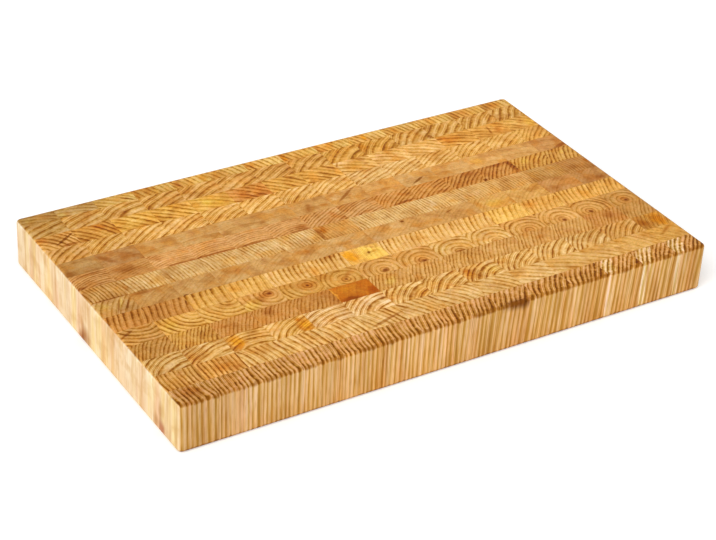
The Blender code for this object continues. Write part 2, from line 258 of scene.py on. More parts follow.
# Single marks in the wood, by kind: how a mark tints the wood, the share of its size that it covers fully,
# and where such marks lie. Each is (stick, column, right, back, half length, half width), in millimetres
# from the middle of an untrimmed block, and may end with a turn in degrees. A block takes up to
# MARKS_PER_BLOCK.
MARKS_PER_BLOCK = 4
MARKS = {
    "amber": ((0.93, 0.77, 0.46), 0.1, [
        (14, 4, -16, -5, 3, 10), (14, 4, 2, -5, 2, 10), (14, 5, 12, -5, 4, 10), (14, 6, -12, -5, 4, 10),
        (14, 7, -11, -5, 3, 10), (14, 9, -2, -3, 5, 8), (14, 11, -8, -4, 4, 9), (14, 12, -3, -5, 5, 8),
        (14, 14, -3, -3, 8, 8), (13, 9, -8, 3, 10, 5, 50), (13, 10, -14, 2, 6, 10), (12, 14, 4, -9, 8, 3, 20),
        (10, 3, 9, 0, 9, 7), (6, 4, -12, 2, 8, 9), (6, 6, -14, -6, 6, 8), (6, 13, 8, 0, 8, 8),
        (3, 7, 9.5, -6, 9, 5), (3, 9, 7, -7, 6, 3), (2, 14, 4, 8, 12, 6, 20),
    ]),
    "gold": ((1.0, 0.76, 0.17), 0.4, [
        (14, 8, -16, -4, 4, 8), (14, 10, -4, -4, 3, 6), (6, 7, -12.5, 3, 8, 11), (3, 3, -9.5, 1, 9, 10),
        (3, 4, 12.5, -2, 7, 12), (3, 14, 2, -1, 9, 13),
    ]),
    "rust": ((0.87, 0.66, 0.38), 0.1, [
        (14, 1, 8, -3, 8, 4, -30), (14, 3, 1, -5, 8, 5), (14, 5, -13, -5, 3, 10), (14, 13, -2, -4, 8, 8),
        (12, 1, -10, 6, 8, 5, -20), (12, 2, 6, 6, 10, 4, -30), (12, 6, -6, 0, 9, 9), (12, 12, -9, 0, 9, 8),
        (12, 13, 9, -3, 9, 8, -30), (10, 2, 6, -3, 12, 8), (10, 7, 11, -4, 6, 4), (9, 7, 10, 0, 6, 8),
        (9, 9, 9, 3, 8, 4, -30), (7, 4, 2, 2, 8, 7), (7, 6, -6, 3, 8, 6), (7, 11, -14, 0, 5, 8),
        (6, 12, -10, 3, 9, 7), (5, 1, 8, 8, 9, 4), (5, 4, 8, 4, 9, 7), (5, 5, 6, 1.8, 11, 10),
        (4, 11, 2, 0, 8, 6), (3, 2, -13, -3, 7, 9, 10), (2, 2, 3, -2, 17, 9), (1, 1, 2, 3, 12, 8),
    ]),
    "burnt": ((0.78, 0.52, 0.16), 0.2, [
        (8, 7, -11.5, 4, 3.5, 8, -12), (8, 14, 10, 2, 5, 5), (4, 6, 14, -6, 7, 7), (3, 3, -13, -7, 8, 5, 20),
        (3, 4, 7.5, -4, 4, 7), (3, 4, 11, 6, 4, 4), (3, 9, -11, -1, 9, 12), (3, 14, -13, 1, 8, 12),
    ]),
    "honey": ((1.06, 1.14, 0.9), 0.0, [
        (14, 1, -8, -4, 8, 5, -30), (14, 2, -14, -7, 5, 5), (12, 9, -1, 0, 9, 8, -30), (10, 12, -8, 2, 8, 8),
        (7, 1, -8, 3, 8, 7), (5, 2, -9, 1, 9, 10), (4, 2, -8, 8, 9, 4, 20), (4, 6, -6, 5, 12, 5),
        (3, 7, 1.3, 6, 7, 3, -20), (3, 9, 9.5, -2, 9, 8),
    ]),
    "cream": ((1.06, 1.16, 1.45), 0.1, [
        (13, 11, 14, 4.4, 6, 2.2, -55), (12, 12, -3, -8, 6, 4), (10, 8, -12, 2, 8, 5, 50),
        (8, 2, 0, 0, 12, 8), (8, 5, 0, 1, 9, 7), (8, 6, 3, 0, 11, 10), (8, 10, -13, -1, 8, 8),
        (7, 7, -13, -6, 6, 5, 45), (7, 8, -13, -6, 7, 5, -40), (7, 9, -14, -6, 6, 4),
    ]),
    "bare": ((1.28, 1.68, 2.7), 0.75, [
        (4, 6, -19, 2, 2.5, 11), (1, 12, -11, 1, 15, 6.0, 58), (1, 13, -9, 1, 17, 7.5, 55),
        (1, 14, -12, 1, 17, 7.0, 55),
    ]),
    "glow": ((1.08, 1.2, 1.02), 0.3, [
        (12, 5, 0, 0, 15, 8, -20), (12, 14, 9, -2, 9, 8), (9, 13, -5, 4, 6, 5, 50), (9, 14, 0, 4, 6, 4, 50),
        (7, 11, 0.5, -1.6, 11, 7), (4, 7, -2, -1, 9, 5, 40),
    ]),
    "bright": ((1.12, 1.26, 1.02), 0.5, [
        (7, 1, 8, 4, 10, 1.6, 62), (6, 7, 7, -1, 15, 12, -20), (5, 4, -12, -4, 12, 7, 36),
    ]),
    "umber": ((0.74, 0.58, 0.38), 0.2, [
        (13, 3, -1, -4, 8, 3, 30), (12, 2, -13, -9, 10, 2.5, 10), (12, 6, 2, -8, 15, 3.0),
        (12, 7, 8, 8, 9, 3, -35), (12, 8, 13, 6, 7, 5, -30), (12, 9, 9.5, -2, 4, 2.5), (12, 12, -14, 7, 6, 4),
        (10, 1, -12, -8, 9, 6), (10, 2, -11, 0, 12, 4, -54), (10, 6, -14, -6, 4, 3, 30),
        (10, 7, -5, -4, 9, 3, 60), (9, 1, 2, 8, 14, 3), (9, 2, -4, 3, 14, 8, -10), (9, 3, -12, 6, 7, 6),
        (9, 6, 12, -5, 8, 6), (9, 8, 0, -8, 12, 2, 10), (9, 10, 8, -8, 10, 3), (9, 11, 10, 6, 9, 6),
        (9, 12, 2, 9, 16, 3), (8, 1, -15, 0, 5, 10), (8, 2, -16, 0, 3, 10), (8, 3, -15, 0, 4, 10),
        (7, 2, -8, 9, 12, 3), (7, 12, 6, 3, 9, 6), (7, 13, -8, -4, 8, 6), (7, 14, 3, -6, 9, 5),
        (6, 6, 6, 9, 9, 3.5), (6, 7, 9, 0.5, 6, 2.2, 12), (5, 3, 8, 5, 9, 4, -10), (5, 4, -3, 1, 8, 6, 20),
        (5, 6, 7, 1, 10, 3, 40), (5, 8, -1, -8, 7, 4, 10), (5, 10, 2, -10.5, 4, 2), (4, 4, -5, 4, 6, 5, 45),
        (4, 13, 4, 3, 8, 7, 60), (3, 3, -18, -4, 3, 9), (3, 3, -4, -3, 3, 2, 30), (2, 11, -2, -9, 8, 3, -30),
        (2, 14, -2.5, 4, 13, 1.8, 32),
    ]),
    "streak": ((0.6, 0.43, 0.25), 0.4, [
        (14, 3, 11, -7, 9, 1.6, -38), (13, 11, 16, -7, 4, 3, 70), (12, 1, 10, -9, 9, 2.5),
        (12, 9, -16, 7, 7, 1.3, 55), (12, 13, -0.5, 0, 9, 1.6, 78), (10, 8, 1, 3, 17, 1.6, 35),
        (10, 14, 5, -9, 14, 3, 25), (9, 1, -12, -9, 8, 2, 10), (9, 3, 6, -9.6, 17, 1.8),
        (9, 4, 0, -9.8, 22, 1.8), (9, 5, 0, -9.8, 22, 1.8), (9, 6, 8, -10, 12, 1.8),
        (9, 9, 3, -9, 16, 1.8, 5), (9, 12, 16, 2, 3.5, 11), (8, 1, 0, -11, 22, 2.0), (8, 2, -8, -11, 10, 2.0),
        (8, 7, -17, -1, 3.0, 11), (7, 1, 4, -1, 12, 1.2, 62), (7, 1, 12, -1, 11, 1.2, 60),
        (7, 10, -7, 4.6, 4.5, 1.1, 20), (5, 1, -9, 4, 10, 1.5, 28), (5, 9, 2.3, -10.6, 5.5, 1.8),
        (5, 12, -14.3, -8.1, 1.8, 1.8), (4, 6, -9, -10, 11, 4.5), (2, 6, 0.5, -4, 20, 1.9, 15.5),
        (1, 12, 17, -6, 4, 3),
    ]),
    "crack": ((0.44, 0.29, 0.1), 0.5, [
        (12, 1, 8.4, 0.5, 13.5, 1.5, 34), (10, 10, -1, -4, 9.5, 1.6, 28), (9, 11, 17, -9, 3, 2.5),
    ]),
    "knot": ((0.36, 0.2, 0.06), 0.3, [
        (7, 3, -15, -11, 2.6, 2.0), (7, 9, -16.5, 8, 2.8, 2.2), (6, 7, 4.6, 0.2, 2.6, 2.2, 50),
        (5, 4, 9.4, 5.5, 3.4, 2.8), (5, 5, 6.2, 1.7, 1.9, 1.8), (5, 6, 3, -4.8, 2.0, 1.8),
        (5, 7, 2.6, -7.2, 4.2, 3.2, 15), (5, 8, 3, -9.6, 3.6, 3.0), (5, 12, 2.2, -9.2, 3.0, 2.8),
        (5, 13, -4.8, -8.0, 2.6, 2.4), (5, 14, -1.4, -5.8, 2.4, 2.2),
    ]),
    "scorch": ((0.28, 0.16, 0.06), 0.3, [(1, 9, -2, -10, 16, 6)]),
}

# Marks that show on the left end alone. Each is (stick, back, height, half width, half height), in
# millimetres on the board.
SIDE_MARKS = {
    "knot": ((0.58, 0.36, 0.20), 0.1, [(8, 14, 9, 9, 12), (8, 20, 4, 12, 8)]),
    "red": ((0.60, 0.33, 0.28), 0.2, [(2, -124, 5, 6, 10)]),
    "stain": ((0.74, 0.60, 0.43), 0.1, [
        (2, -115, 7, 8, 9), (2, -122, 20, 6, 12), (6, -47, 34, 9, 7), (1, -148, 20, 4, 26),
    ]),
}

# A scorch lies only in the upper edge. The other marks in the wood run through the board.
SCORCH_DEPTH = 9 * MM
THROUGH = 1.0

# How dark a year's ring gets from the pith outwards, as (share of the year, darkness), and its thin lines
RING_PROFILE = [
    (0.00, 0.35), (0.06, 0.08), (0.35, 0.02), (0.55, 0.15), (0.70, 0.50), (0.82, 0.88), (0.92, 1.0),
    (1.00, 0.38),
]
FINE_LINES = 3

# How the rings stray from true circles, as (scale of the noise, reach), and how much the years differ
STRAYS = [(45.0, 3.6 * MM), (260.0, 0.9 * MM)]
WOBBLE_SCALE = 90.0
WOBBLE = 0.6
YEAR_STRENGTH = (0.56, 1.0)

# How unevenly the late wood shows, as (scale of the noise, least, most), and its share in young wood
PATCHES = [(85.0, -0.30, 2.30), (330.0, -0.10, 2.10)]
YOUNG_STRENGTH = 0.45

# How much less the wood changes up and down than across: in its rings, in its fine grain, and on the left end
RING_STRETCH = (1.0, 1.0, 0.12)
GRAIN_STRETCH = (1.0, 1.0, 0.05)
LEFT_END_STRETCH = (1.0, 1.0, 0.10)

# The rays: their width, and how near the pith they still spread
RAY_WIDTH = 0.9 * MM
RAY_START = 12 * MM

# Tints of the wood, and among them a painted shade and a painted highlight. A tint multiplies a linear
# colour.
DARK_YEAR = (0.88, 0.82, 0.74)
WARM_YEAR = (1.0, 0.90, 0.62)
YOUNG_WOOD = (0.93, 0.80, 0.62)
SAPWOOD = (1.04, 1.20, 1.45)
PORE = (0.86, 0.77, 0.66)
RAY = (1.08, 1.12, 1.25)
# Painted shade: the upright sides made darker and warmer towards the bottom, next to the floor
LOW_SIDE_PAINTED_SHADE = (0.95, 0.88, 0.74)
# Painted highlight: the arris along the left end made paler, where the key light falls on it
LEFT_ARRIS_PAINTED_HIGHLIGHT = (1.02, 1.08, 1.16)
LEFT_END_RING = (0.80, 0.62, 0.40)
GLUE_LINE = (0.50, 0.38, 0.26)
GLUE_FILM = (0.85, 0.74, 0.55)

# Long grain against end grain: its tint, and how strongly its late wood and its thin lines show
LONG_GRAIN = (0.97, 1.09, 1.16)
LONG_GRAIN_LATE = 0.35
LONG_GRAIN_THIN = 0.7

# The dark band along the arrises: partly end grain at the rounding that soaks up more oil, partly painted
# shade, as it is left off the lit left end
OILED_AND_SHADED_EDGE_WOOD = (0.22, 0.070, 0.004, 1)
LEFT_END_WOOD = (0.83, 0.65, 0.43, 1)

# Soft clouds: the scale and the detail of their noise, and the start, the full value and the tint of each
WIDE_CLOUDS = (62.0, 2.0, [
    (0.45, 0.68, (0.83, 0.74, 0.62)), (0.46, 0.70, (0.98, 0.84, 0.58)), (0.50, 0.72, (1.07, 1.15, 1.32)),
])
SMALL_CLOUDS = (210.0, 2.0, [
    (0.48, 0.70, (0.85, 0.76, 0.64)), (0.50, 0.72, (1.0, 0.92, 0.72)), (0.50, 0.72, (0.99, 0.90, 0.98)),
])
LEFT_END_STREAKS = (85.0, 3.0, [
    (0.45, 0.68, (0.96, 0.83, 0.80)), (0.45, 0.68, (1.0, 0.98, 0.74)), (0.48, 0.70, (0.86, 0.75, 0.62)),
])
LEFT_END_THIN_STREAKS = (330.0, 2.0, [(0.50, 0.68, (1.07, 1.12, 1.18)), (0.50, 0.68, (0.92, 0.85, 0.74))])
LEFT_END_SMEARS = (60.0, 3.0, [(0.50, 0.70, (0.90, 0.82, 0.70)), (0.50, 0.70, (1.05, 1.12, 1.20))])

# How far from its middle a glue line, and from the arris the dark edge band of oiled end grain and painted
# shade, is full and then ends
JOINT_LINE = (0.05 * MM, 0.30 * MM)
EDGE_BAND = (0.2 * MM, 3.4 * MM)
EDGE_RAGGED = 6.0 * MM

FLOOR_HALF = 15.0
FLOOR_DROP = 0.05 * MM
FLOOR_COLOUR = (0.90, 0.90, 0.90, 1)
FLOOR_LIFT = 0.22
WORLD_LEVEL = 0.50

# Lamps as (name, direction that the light comes from, strength, angular size in degrees, colour)
SUNS = [
    ("key", (-0.80, -0.35, 0.75), 2.12, 50, (1.0, 0.98, 0.94)),
    ("fill", (0.15, -0.80, 0.70), 0.55, 70, (1.0, 1.0, 1.0)),
]

CAMERA_PLACE = Vector((-0.80788, -1.23002, 0.93138))
CAMERA_AIM = Vector((-0.0357, -0.0505, 0.0445))
CAMERA_ROLL = math.radians(3.287)
CAMERA_LENS = 101.05
CAMERA_SENSOR = 36.0


def at_column(keys, column):
    """The value at one column of what is given as {column: value}, or as one value for every column."""
    if not isinstance(keys, dict):
        return keys
    left = max((place for place in keys if place <= column), default=min(keys))
    right = min((place for place in keys if place >= column), default=max(keys))
    if left == right:
        return keys[left]
    share = (column - left) / (right - left)
    if isinstance(keys[left], tuple):
        return tuple(a + (b - a) * share for a, b in zip(keys[left], keys[right]))
    return keys[left] + (keys[right] - keys[left]) * share


def stick_at_column(stick, column):
    """A stick's looks at one column. Its tone is the early wood's colour and then the late wood's."""
    looks = {**PLAIN_STICK, **STICKS[stick - 1]}
    looks["tone"] = {place: (*TONES[name][0], *TONES[name][1]) for place, name in looks["tone"].items()}
    return {name: at_column(keys, column) for name, keys in looks.items()}


def lines_between(nodes, axis):
    """The outer faces of a row of nodes, and the glue line half way between each two neighbours."""
    boxes = [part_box(node) for node in nodes]
    lines = [boxes[0][0][axis]]
    for before, after in zip(boxes, boxes[1:]):
        lines.append((before[1][axis] + after[0][axis]) / 2)
    lines.append(boxes[-1][1][axis])
    return lines


STRIP_LINES = lines_between(
    ["left_end_block_01", *(f"strip_{i:02d}" for i in range(2, STRIPS)), "right_end_block_01"], 0
)
STICK_LINES = lines_between([f"left_end_block_{i:02d}" for i in range(1, STICKS_ACROSS + 1)], 1)
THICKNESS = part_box("strip_02")[1].z
FULL_SIZE = Vector((STRIP_LINES[2] - STRIP_LINES[1], STICK_LINES[2] - STICK_LINES[1], 0))


def untrimmed_centre(stick, column):
    """The middle that a block had before the board was trimmed. Sticks and columns count from 1."""
    centre = Vector((0, 0, 0))
    for axis, lines, number in ((0, STRIP_LINES, column), (1, STICK_LINES, stick)):
        if number == 1:
            centre[axis] = lines[1] - FULL_SIZE[axis] / 2
        else:
            centre[axis] = lines[number - 1] + FULL_SIZE[axis] / 2
    return centre


def joint_box(stick, column):
    """The block's glue lines as two corners. There is no line where it ends at the board's outer face."""
    low = Vector((0, 0, 0))
    high = Vector((0, 0, 0))
    for axis, lines, number in ((0, STRIP_LINES, column), (1, STICK_LINES, stick)):
        low[axis] = lines[number - 1] - (THROUGH if number == 1 else 0)
        high[axis] = lines[number] + (THROUGH if number == len(lines) - 1 else 0)
    return low, high


def marks_of(stick, column):
    """One block's marks, filled up with empty ones: (place, size, turn, core, tint, on the left end)."""
    centre = untrimmed_centre(stick, column)
    found = []
    for kind, (tint, core, marks) in MARKS.items():
        for mark_stick, mark_column, right, back, long, wide, *turn in marks:
            if (mark_stick, mark_column) == (stick, column):
                place = centre + Vector((right, back, 0)) * MM
                size = Vector((long * MM, wide * MM, THROUGH))
                if kind == "scorch":
                    place.z = THICKNESS
                    size.z = SCORCH_DEPTH
                angle = math.radians(turn[0]) if turn else 0.0
                found.append((place, size, angle, core, (*tint, 1.0), 0.0))
    for tint, core, marks in SIDE_MARKS.values():
        for mark_stick, back, height, wide, tall in marks:
            if (mark_stick, 1) == (stick, column):
                place = Vector((STRIP_LINES[0], back * MM, height * MM))
                size = Vector((wide, wide, tall)) * MM
                found.append((place, size, 0.0, core, (*tint, 1.0), 1.0))
    nothing = (centre, Vector((1, 1, 1)), 0.0, 0.0, (1.0, 1.0, 1.0, 0.0), 0.0)
    return (found + [nothing] * MARKS_PER_BLOCK)[:MARKS_PER_BLOCK]


def block_values(stick, column):
    """Everything that the larch material reads about one block, by attribute name."""
    wood = stick_at_column(stick, column)
    centre = untrimmed_centre(stick, column)
    pith_from_centre = Vector((*wood["pith"], 0)) * MM
    narrowing, narrowing_reach = wood["narrowing"]
    draw = random.Random(f"{stick} {column}")
    # The end columns get painted shade: darker where less light falls on the top
    shade = draw.uniform(*BLOCK_SHADE) * at_column(END_COLUMN_PAINTED_SHADE, column) * wood["shade"]
    early, late = wood["tone"][:3], wood["tone"][3:]
    low, high = joint_box(stick, column)
    values = {
        "pith": centre + pith_from_centre,
        "lean": Vector((*wood["lean"], 0)) * MM,
        "sap": Vector((*wood["sap"], 0)) * MM,
        "joint_low": low,
        "joint_high": high,
        "seed": Vector((draw.uniform(0, 9), draw.uniform(0, 9), stick * 3.7)),
        "early": (*(part * shade for part in early), 1.0),
        "late_share": (*(dark / pale for dark, pale in zip(late, early)), 1.0),
        "pitch": wood["pitch"] * MM,
        "centre_radius": pith_from_centre.length,
        "narrowing": Vector((narrowing / MM, narrowing_reach * MM, 0)),
        "fade": Vector((centre.y, wood["fade"] / (FULL_SIZE.y / 2), 0)),
        "young_wood": wood["young_wood"] * MM,
        "ray_scale": max(pith_from_centre.length, RAY_START) / RAY_WIDTH,
        "left_end": 1.0 if column == 1 else 0.0,
    }
    for name in ("fine", "contrast", "clouds", "late_wood"):
        values[name] = wood[name]
    for number, mark in enumerate(marks_of(stick, column), start=1):
        for name, value in zip(("at", "size", "turn", "core", "tint", "on_end"), mark):
            values[f"mark_{number}_{name}"] = value
    return values


def round_off(builder, edges, radius, segments):
    """Rounds some of the slab's edges."""
    rounded = bmesh.ops.bevel(
        builder, geom=edges, offset=radius, segments=segments, profile=0.5, affect="EDGES"
    )
    for face in rounded["faces"]:
        face.smooth = True
    builder.normal_update()


def rounded_slab():
    """The finished slab's skin, with its upright corners and its top and bottom edges rounded."""
    low, high = (Vector(corner) for corner in CAD_BOX)
    builder = bmesh.new()
    made = bmesh.ops.create_cube(builder, size=1.0)
    for vert in made["verts"]:
        vert.co = (low + high) / 2 + Vector(a * b for a, b in zip(vert.co, high - low))

    upright = [e for e in builder.edges if abs(e.verts[0].co.z - e.verts[1].co.z) > THICKNESS / 2]
    round_off(builder, upright, CORNER_ROUND, CORNER_SEGMENTS)
    rims = [e for e in builder.edges if any(abs(f.normal.z) > 0.5 for f in e.link_faces)]
    round_off(builder, rims, EDGE_ROUND, EDGE_SEGMENTS)
    return builder


def along(axis, sign):
    """A unit vector along an axis, or against it."""
    return Vector([sign if i == axis else 0 for i in range(3)])


def cut(builder, axis, place, **clear):
    """Cuts through every face square to an axis, and can clear away one side."""
    normal = along(axis, 1)
    everything = builder.verts[:] + builder.edges[:] + builder.faces[:]
    return bmesh.ops.bisect_plane(
        builder, geom=everything, plane_co=normal * place, plane_no=normal, **clear
    )


def groove(builder):
    """Presses a shallow V into the top and the underside along each line between two sticks."""
    for line in STICK_LINES[1:-1]:
        for y in (line - JOINT_EASE, line, line + JOINT_EASE):
            cut(builder, 1, y)
        for vert in builder.verts:
            if abs(vert.co.y - line) < JOINT_EASE / 10:
                if vert.co.z > THICKNESS - JOINT_EASE / 10:
                    vert.co.z -= JOINT_EASE
                elif vert.co.z < JOINT_EASE / 10:
                    vert.co.z += JOINT_EASE


def saw(builder, axis, place, keep_above):
    """Cuts one side of the slab away square to an axis, and closes the cut with a glued side."""
    made = cut(builder, axis, place, clear_inner=keep_above, clear_outer=not keep_above)
    rim = [part for part in made["geom_cut"] if isinstance(part, bmesh.types.BMEdge)]
    bmesh.ops.edgeloop_fill(builder, edges=rim, mat_nr=GLUED_SIDE)


def ease_joints(builder):
    """Takes a fine chamfer off the edges where a glued side meets the board's surface."""
    builder.normal_update()
    edges = [e for e in builder.edges if len({f.material_index for f in e.link_faces}) == 2]
    bmesh.ops.bevel(
        builder, geom=edges, offset=JOINT_EASE, segments=1, profile=0.5, affect="EDGES", material=LARCH
    )
    builder.normal_update()


def stick_at(y):
    """The number of the stick that a place across the board lies in."""
    return 1 + sum(y > line for line in STICK_LINES[1:-1])


def write_blocks(builder, column):
    """Stores on every face what the larch material reads about its block."""
    known = {}
    layers = {}
    for name, value in block_values(1, column).items():
        kind = "float" if isinstance(value, float) else {3: "float_vector", 4: "float_color"}[len(value)]
        layers[name] = getattr(builder.faces.layers, kind).new(name)
    for face in builder.faces:
        stick = stick_at(face.calc_center_median().y)
        if stick not in known:
            known[stick] = block_values(stick, column)
        for name, value in known[stick].items():
            face[layers[name]] = value


def flat_axes(direction):
    """The two axes of the plane that faces a direction, right-handed about it."""
    if abs(direction.z) > 0.5:
        across, up = along(1, 1), along(0, 1)
    elif abs(direction.y) > 0.5:
        across, up = along(2, 1), along(0, 1)
    else:
        across, up = along(1, 1), along(2, 1)
    if across.cross(up).dot(direction) < 0:
        across = -across
    return across, up


def islands_of(builder, outward):
    """The piece's faces as flat islands: one for each block and open side, and one for each glued side."""
    sideways = [along(axis, sign) for axis in (0, 1) for sign in (1, -1)]
    groups = {}
    for face in builder.faces:
        glued = face.material_index == GLUED_SIDE
        direction = max(sideways if glued else outward, key=face.normal.dot)
        stick = 0 if glued else stick_at(face.calc_center_median().y)
        groups.setdefault((glued, tuple(direction), stick), []).append(face)

    islands = []
    for (glued, direction, _), faces in groups.items():
        scale = HIDDEN_SCALE if glued else 1.0
        across, up = (axis * scale for axis in flat_axes(Vector(direction)))
        loops = [loop for face in faces for loop in face.loops]
        corners = [(loop, loop.vert.co.dot(across), loop.vert.co.dot(up)) for loop in loops]
        left = min(u for _, u, _ in corners)
        bottom = min(v for _, _, v in corners)
        islands.append({
            "corners": [(loop, u - left, v - bottom) for loop, u, v in corners],
            "width": max(u for _, u, _ in corners) - left + ISLAND_SPACE,
            "height": max(v for _, _, v in corners) - bottom + ISLAND_SPACE,
        })
    return sorted(islands, key=lambda island: (-island["height"], -island["width"]))


def shelves(islands, width):
    """Lays the islands out in rows up to a width. Gives the side of their square, and their places."""
    places = []
    u, v, row_height = 0.0, 0.0, 0.0
    for island in islands:
        if places and u + island["width"] > width:
            u = 0.0
            v += row_height
            row_height = 0.0
        places.append((u, v))
        u += island["width"]
        row_height = max(row_height, island["height"])
    return max(width, v + row_height), places


def lay_out_texture(builder, outward):
    """Gives the piece the UV map that its baked textures use, with most of the room for what shows."""
    uv = builder.loops.layers.uv.new("OFBake")
    islands = islands_of(builder, outward)
    side = math.sqrt(sum(island["width"] * island["height"] for island in islands))
    widest = max(island["width"] for island in islands)
    widths = [max(side * (0.9 + 0.01 * step), widest) for step in range(60)]
    full, places = min((shelves(islands, width) for width in widths), key=lambda found: found[0])
    for island, (u0, v0) in zip(islands, places):
        for loop, u, v in island["corners"]:
            loop[uv].uv = ((u0 + u + ISLAND_SPACE / 2) / full, (v0 + v + ISLAND_SPACE / 2) / full)


def new_object(name, data):
    """A new object in the scene."""
    made = bpy.data.objects.new(name, data)
    bpy.context.scene.collection.objects.link(made)
    return made


def mesh_object(name, builder, materials):
    """Turns a finished builder into an object."""
    mesh = bpy.data.meshes.new(name)
    builder.to_mesh(mesh)
    builder.free()
    for material in materials:
        mesh.materials.append(material)
    return new_object(name, mesh)


def make_piece(node, column, stick_span, slab, materials):
    """The piece that stands for a CAD node: the slab's part in one column, between two stick lines."""
    builder = slab.copy()
    outward = [along(2, 1), along(2, -1)]
    for axis, lines, span in ((0, STRIP_LINES, (column - 1, column)), (1, STICK_LINES, stick_span)):
        for sign, number in zip((-1, 1), span):
            if 0 < number < len(lines) - 1:
                saw(builder, axis, lines[number], sign < 0)
            else:
                outward.append(along(axis, sign))
    ease_joints(builder)
    write_blocks(builder, column)
    lay_out_texture(builder, outward)

    piece = mesh_object(f"oiled_{node}", builder, materials)
    piece.data.set_sharp_from_angle(angle=SMOOTH_BELOW)
    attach(piece, "root")
    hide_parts(node)


class Wire:
    """What one node gives. Arithmetic on it adds the nodes that work it out."""

    def __init__(self, graph, socket, is_vector=None):
        self.graph = graph
        self.socket = socket
        self.is_vector = socket.type != "VALUE" if is_vector is None else is_vector

    def __add__(self, other):
        return self.graph.math("ADD", self, other)

    def __sub__(self, other):
        return self.graph.math("SUBTRACT", self, other)

    def __rsub__(self, other):
        return self.graph.math("SUBTRACT", other, self)

    def __mul__(self, other):
        return self.graph.math("MULTIPLY", self, other)

    def __truediv__(self, other):
        return self.graph.math("DIVIDE", self, other)

    def __pow__(self, other):
        return self.graph.math("POWER", self, other)


def is_vector(value):
    """Whether a value is a vector or a colour, and not a number."""
    return value.is_vector if isinstance(value, Wire) else isinstance(value, tuple)


class Graph:
    """Short calls for building the nodes of their owner, a material or the world."""

    def __init__(self, owner, shader="Principled BSDF"):
        owner.use_nodes = True
        self.owner = owner
        self.tree = owner.node_tree
        self.shader = self.tree.nodes[shader]

    def feed(self, socket, value):
        """Links a socket to a wire, or sets it to a constant."""
        if isinstance(value, Wire):
            self.tree.links.new(value.socket, socket)
        else:
            socket.default_value = value

    def outputs(self, kind, inputs, **settings):
        """The outputs of a new node, after its settings and its inputs by name or number."""
        made = self.tree.nodes.new(f"ShaderNode{kind}")
        for name, value in settings.items():
            setattr(made, name, value)
        for name, value in inputs.items():
            self.feed(made.inputs[name], value)
        return made.outputs

    def node(self, kind, output, inputs, **settings):
        """One output of a new node, by name or number."""
        return Wire(self, self.outputs(kind, inputs, **settings)[output])

    def held(self, name, output="Fac"):
        """What the faces hold under a name, as a number, a vector or a colour."""
        return self.node("Attribute", output, {}, attribute_name=name)

    def math(self, operation, *values, clamp=False):
        """A function of numbers, or of vectors where one of the values is a vector."""
        inputs = dict(enumerate(values))
        if not any(is_vector(value) for value in values):
            return self.node("Math", 0, inputs, operation=operation, use_clamp=clamp)
        if operation == "MULTIPLY" and not is_vector(values[1]):
            operation = "SCALE"
            inputs = {0: values[0], "Scale": values[1]}
        return self.node("VectorMath", "Vector", inputs, operation=operation)

    def length(self, vector):
        """A vector's length."""
        return self.node("VectorMath", "Value", {0: vector}, operation="LENGTH")

    def parts(self, vector):
        """A vector's three parts."""
        return [Wire(self, part) for part in self.outputs("SeparateXYZ", {0: vector})[:3]]

    def noise(self, vector, scale, detail=2.0, output="Fac"):
        """Smooth noise around 0.5, as a number, or as three of them if its colour is read."""
        return self.node("TexNoise", output, {"Vector": vector, "Scale": scale, "Detail": detail})

    def smooth(self, value, low, high):
        """A smooth step that is 0 at low and 1 at high."""
        inputs = {"Value": value, "From Min": low, "From Max": high}
        return self.node("MapRange", "Result", inputs, interpolation_type="SMOOTHSTEP")

    def spread(self, value, low, high):
        """Turns a number from 0 to 1 into one from low to high."""
        return self.node("MapRange", "Result", {"Value": value, "To Min": low, "To Max": high})

    def ramp(self, value, stops):
        """A number read off a curve through (place, value) stops."""
        made = self.tree.nodes.new("ShaderNodeValToRGB")
        self.feed(made.inputs["Fac"], value)
        elements = made.color_ramp.elements
        elements.remove(elements[1])
        elements[0].position, grey = stops[0]
        elements[0].color = (grey, grey, grey, 1)
        for place, grey in stops[1:]:
            elements.new(place).color = (grey, grey, grey, 1)
        return Wire(self, made.outputs["Color"], is_vector=False)

    def mix(self, factor, first, second, blend="MIX"):
        """Two colours blended."""
        inputs = {0: factor, 6: first, 7: second}
        return self.node("Mix", 2, inputs, data_type="RGBA", blend_type=blend)

    def tint(self, factor, colour, tint):
        """A colour multiplied by a tint, as far as the factor says."""
        return self.mix(factor, colour, tint if isinstance(tint, Wire) else (*tint, 1), "MULTIPLY")

    def clouded(self, amount, colour, place, clouds):
        """A colour under soft clouds, each drawn from its own part of one noise."""
        scale, detail, looks = clouds
        parts = self.parts(self.noise(place, scale, detail, "Color"))
        for part, (start, full, tint) in zip(parts, looks):
            colour = self.tint(self.smooth(part, start, full) * amount, colour, tint)
        return colour

    def bump(self, height, strength, distance):
        """Gives the shader fine relief."""
        inputs = {"Strength": strength, "Distance": distance, "Height": height}
        self.feed(self.shader.inputs["Normal"], self.node("Bump", "Normal", inputs))

    def seen(self):
        """1 for rays that the camera sees, straight, mirrored or through glass, and 0 for all others."""
        path = self.outputs("LightPath", {})
        seen = Wire(self, path["Is Camera Ray"])
        for ray in ("Is Glossy Ray", "Is Transmission Ray"):
            seen = self.math("MAXIMUM", seen, Wire(self, path[ray]))
        return seen


